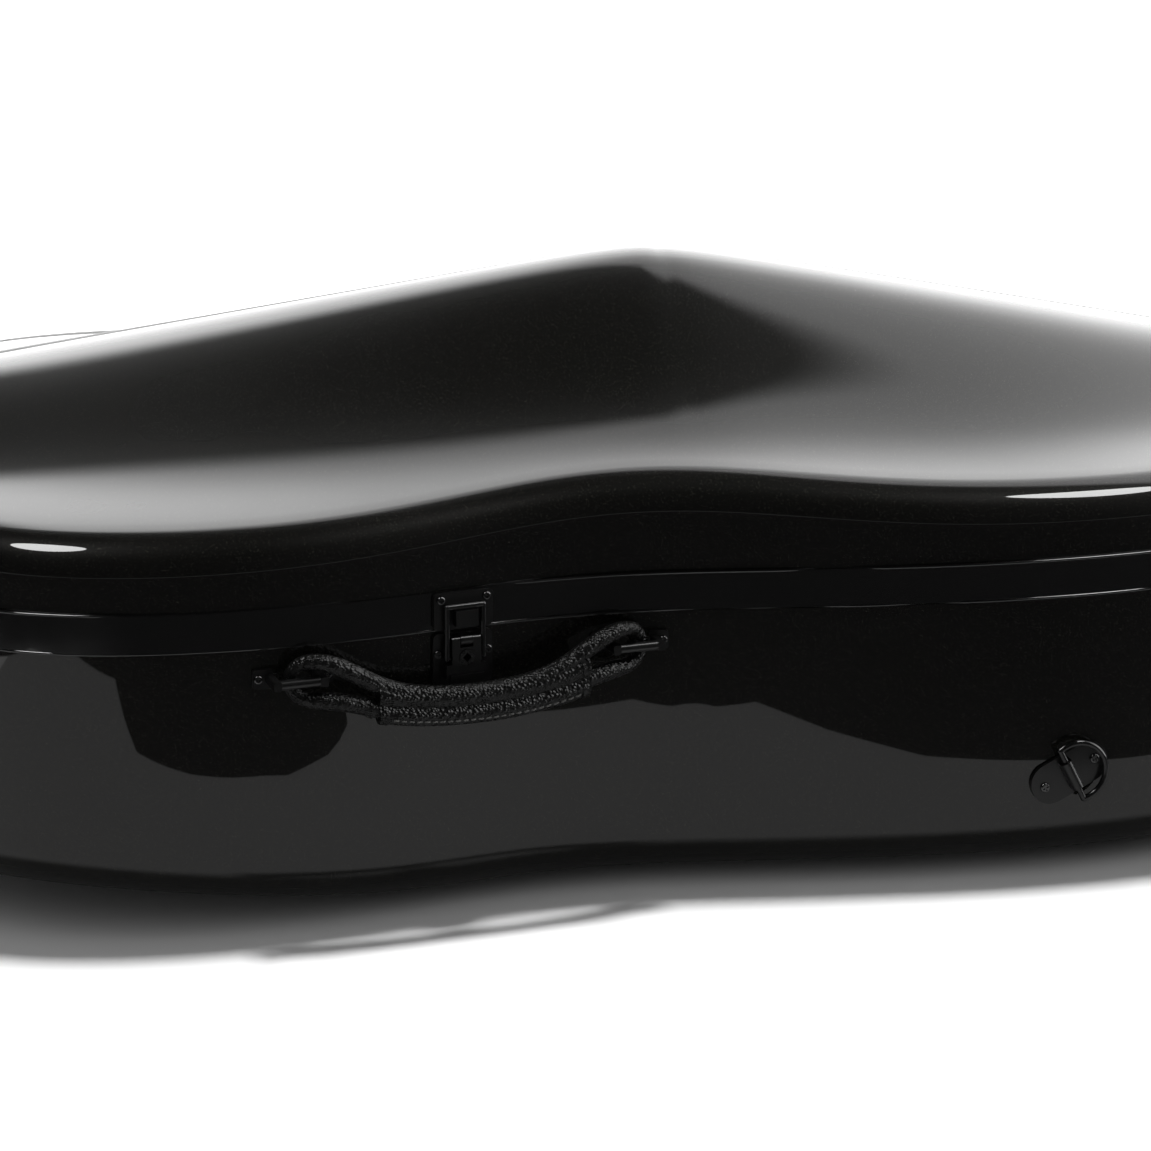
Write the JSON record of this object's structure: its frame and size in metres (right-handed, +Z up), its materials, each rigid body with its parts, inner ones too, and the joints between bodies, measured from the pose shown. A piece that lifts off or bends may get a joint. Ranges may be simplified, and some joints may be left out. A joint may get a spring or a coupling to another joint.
{
  "type": "cello case",
  "caption": "Rigid cello case lying on its back, with a hinged lid, draw latches, rolled leather carry handle, strap rings and a padded interior.",
  "frame": {"origin": "on the face of the middle foot, under the middle of the case's length and width", "axes": "+X along the case towards the neck end, +Z up from the back to the lid, -Y towards the handle and latch side"},
  "size_m": [1.3578, 0.5153, 0.2956],
  "materials": {
    "shell_paint": "gloss metallic paint with fine flakes",
    "band_black": "deep gloss black",
    "tongue_aluminium": "satin",
    "seal_rubber": "matte",
    "lining_plush": "short plush",
    "pad_plush": "plush over foam",
    "hardware_black": "semi-gloss black",
    "screw_black": "semi-gloss black",
    "steel": "satin",
    "bail_steel": "gloss black",
    "lock_steel": "dark satin",
    "handle_leather": "pebble-grained black leather",
    "foot_rubber": "matte",
    "strap_webbing": "webbing",
    "box_plastic": "satin"
  },
  "bodies": {
    "case": {"body_shell": "shell_paint", "body_tongue": "tongue_aluminium", "rim_seal": "seal_rubber", "body_lining": "lining_plush", "end_pad": "pad_plush", "pad_low_near": "pad_plush", "pad_low_far": "pad_plush", "pad_high_near": "pad_plush", "pad_high_far": "pad_plush", "scroll_pad": "pad_plush", "neck_cradle": "pad_plush", "hinge_low_body_leaf": "hardware_black", "hinge_low_pin": "steel", "hinge_high_body_leaf": "hardware_black", "hinge_high_pin": "steel", "hinge_body_screws": "screw_black", "latch_base_screws": "screw_black", "handle_screws": "screw_black", "dring_screws": "screw_black", "latch_bottom_base": "hardware_black", "latch_lock_base": "hardware_black", "latch_neck_base": "hardware_black", "latch_head_base": "hardware_black", "handle_low_bracket": "hardware_black", "handle_high_bracket": "hardware_black", "dring_high_plate": "hardware_black", "dring_low_plate": "hardware_black", "back_feet": "foot_rubber", "neck_strap": "strap_webbing", "accessory_box": "box_plastic"},
    "lid": {"lid_shell": "shell_paint", "lid_band": "band_black", "lid_lining": "lining_plush", "bow_pocket": "pad_plush", "hinge_low_lid_leaf": "hardware_black", "hinge_high_lid_leaf": "hardware_black", "hinge_lid_screws": "screw_black", "latch_keeper_screws": "screw_black", "latch_bottom_keeper": "hardware_black", "latch_lock_keeper": "hardware_black", "latch_neck_keeper": "hardware_black", "latch_head_keeper": "hardware_black", "bow_clip_base": "box_plastic"},
    "lever_bottom": {"latch_bottom_lever": "hardware_black"},
    "bail_bottom": {"latch_bottom_bail": "bail_steel"},
    "lever_lock": {"latch_lock_lever": "hardware_black", "latch_lock_barrel": "lock_steel"},
    "bail_lock": {"latch_lock_bail": "bail_steel"},
    "lever_neck": {"latch_neck_lever": "hardware_black"},
    "bail_neck": {"latch_neck_bail": "bail_steel"},
    "lever_head": {"latch_head_lever": "hardware_black"},
    "bail_head": {"latch_head_bail": "bail_steel"},
    "handle": {"carry_handle": "handle_leather"},
    "strap_ring_high": {"dring_high_ring": "bail_steel"},
    "strap_ring_low": {"dring_low_ring": "bail_steel"},
    "bow_clip_near": {"bow_clip_near": "box_plastic"},
    "bow_clip_far": {"bow_clip_far": "box_plastic"},
    "accessory_lid": {"accessory_lid": "box_plastic"}
  },
  "joints": [
    {"name": "lid_hinge", "type": "hinge", "parent": "case", "child": "lid", "pos_m": [-0.2725, 0.234, 0.15], "axis": [-0.9944, 0.1057, 0], "range_deg": [0, 100]},
    {"name": "lever_bottom_turn", "type": "hinge", "parent": "case", "child": "lever_bottom", "pos_m": [-0.675, 0, 0.145], "axis": [0, 1, 0], "range_deg": [0, 105]},
    {"name": "bail_bottom_turn", "type": "hinge", "parent": "lever_bottom", "child": "bail_bottom", "pos_m": [-0.675, 0, 0.136], "axis": [0, 1, 0], "range_deg": [-105, 0]},
    {"name": "lever_lock_turn", "type": "hinge", "parent": "case", "child": "lever_lock", "pos_m": [-0.33354, -0.21878, 0.145], "axis": [-0.9563, -0.2924, 0], "range_deg": [0, 105]},
    {"name": "bail_lock_turn", "type": "hinge", "parent": "lever_lock", "child": "bail_lock", "pos_m": [-0.33354, -0.21878, 0.136], "axis": [-0.9563, -0.2924, 0], "range_deg": [-105, 0]},
    {"name": "lever_neck_turn", "type": "hinge", "parent": "case", "child": "lever_neck", "pos_m": [0.3005, -0.10509, 0.145], "axis": [-0.995, -0.1003, 0], "range_deg": [0, 105]},
    {"name": "bail_neck_turn", "type": "hinge", "parent": "lever_neck", "child": "bail_neck", "pos_m": [0.3005, -0.10509, 0.136], "axis": [-0.995, -0.1003, 0], "range_deg": [-105, 0]},
    {"name": "lever_head_turn", "type": "hinge", "parent": "case", "child": "lever_head", "pos_m": [0.675, 0, 0.145], "axis": [0, -1, 0], "range_deg": [0, 105]},
    {"name": "bail_head_turn", "type": "hinge", "parent": "lever_head", "child": "bail_head", "pos_m": [0.675, 0, 0.136], "axis": [0, -1, 0], "range_deg": [-105, 0]},
    {"name": "handle_swing", "type": "hinge", "parent": "case", "child": "handle", "pos_m": [-0.33141, -0.22995, 0.135], "axis": [-0.9734, -0.2289, 0], "range_deg": [0, 27]},
    {"name": "strap_ring_high_turn", "type": "hinge", "parent": "case", "child": "strap_ring_high", "pos_m": [-0.01725, -0.20136, 0.055], "axis": [0.4496, 0.0631, -0.891], "range_deg": [0, 160]},
    {"name": "strap_ring_low_turn", "type": "hinge", "parent": "case", "child": "strap_ring_low", "pos_m": [0.42018, -0.09928, 0.055], "axis": [0.4537, 0.0153, -0.891], "range_deg": [0, 160]},
    {"name": "bow_clip_near_turn", "type": "hinge", "parent": "lid", "child": "bow_clip_near", "pos_m": [0.072, -0.03, 0.215], "axis": [0, 0, 1], "range_deg": [0, 90]},
    {"name": "bow_clip_far_turn", "type": "hinge", "parent": "lid", "child": "bow_clip_far", "pos_m": [0.072, 0.03, 0.215], "axis": [0, 0, 1], "range_deg": [0, 90]},
    {"name": "accessory_lid_hinge", "type": "hinge", "parent": "case", "child": "accessory_lid", "pos_m": [0.255, 0.082, 0.1045], "axis": [-1, 0, 0], "range_deg": [0, 95]}
  ],
  "couplings": [
    {"joint": "bail_bottom_turn", "follows": "lever_bottom_turn", "ratio": -1},
    {"joint": "bail_lock_turn", "follows": "lever_lock_turn", "ratio": -1},
    {"joint": "bail_neck_turn", "follows": "lever_neck_turn", "ratio": -1},
    {"joint": "bail_head_turn", "follows": "lever_head_turn", "ratio": -1}
  ]
}
